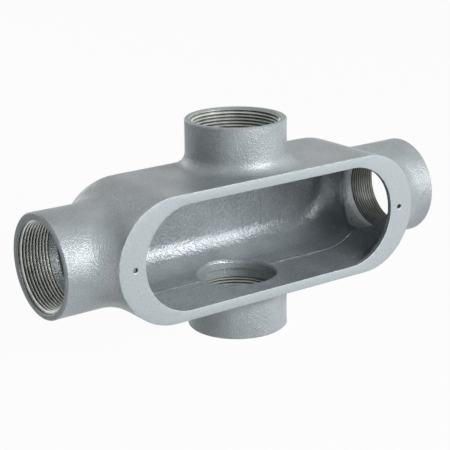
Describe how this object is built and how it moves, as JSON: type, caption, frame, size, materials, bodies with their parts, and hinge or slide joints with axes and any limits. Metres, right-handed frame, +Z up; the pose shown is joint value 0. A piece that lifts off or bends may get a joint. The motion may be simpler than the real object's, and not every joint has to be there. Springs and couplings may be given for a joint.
{
  "type": "conduit body",
  "caption": "Cross-shaped cast iron conduit body: a long round-ended box with an open face, round threaded hubs on all sides and cover screw holes in its flat rim.",
  "frame": {"origin": "centre of the bottom hub's mouth, on which the part stands", "axes": "+X along the long side from the left hub to the right hub, -Y out of the cover opening, +Z up through the upright hubs"},
  "size_m": [0.2984, 0.086, 0.1426],
  "materials": {
    "painted_iron": "sand-cast iron under thin grey aluminium-coloured paint"
  },
  "bodies": {
    "root": {"conduit_body": "painted_iron"}
  },
  "joints": []
}
